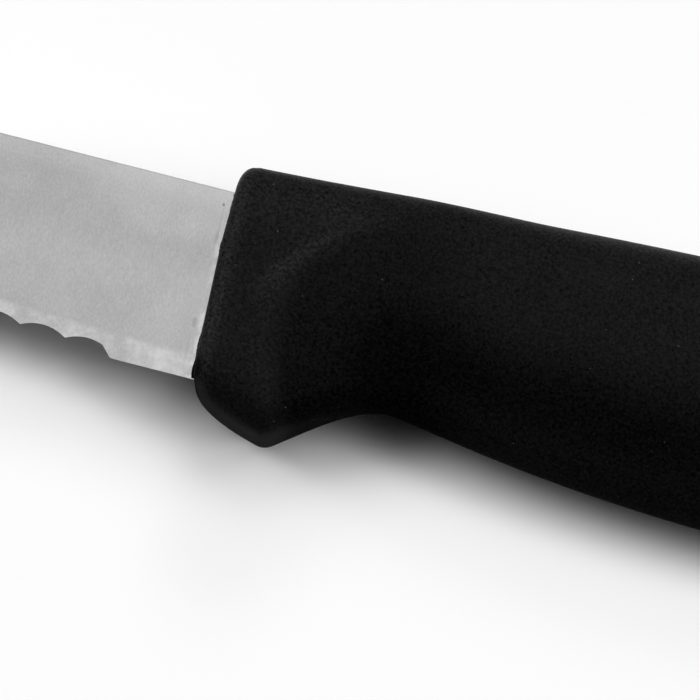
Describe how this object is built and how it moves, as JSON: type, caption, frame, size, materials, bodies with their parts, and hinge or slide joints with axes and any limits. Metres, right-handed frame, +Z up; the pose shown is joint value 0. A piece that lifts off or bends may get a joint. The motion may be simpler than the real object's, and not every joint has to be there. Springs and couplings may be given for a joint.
{
  "type": "serrated utility knife",
  "caption": "Serrated kitchen utility knife: stamped steel blade with a scalloped edge and hidden tang, in a moulded black handle with a guard and finger scoop.",
  "frame": {"origin": "middle of the knife's box, on the table that it lies on", "axes": "+X from the blade's tip to the handle's butt, +Y from the teeth to the spine, +Z up out of the blade's left face, as the knife lies on its right flank"},
  "size_m": [0.275, 0.032, 0.018],
  "materials": {
    "blade_steel": "satin ground stainless steel with fine grinding lines",
    "handle_plastic": "black moulded plastic with a fine spark-eroded grain"
  },
  "bodies": {
    "root": {"serrated_blade": "blade_steel", "moulded_handle": "handle_plastic"}
  },
  "joints": []
}
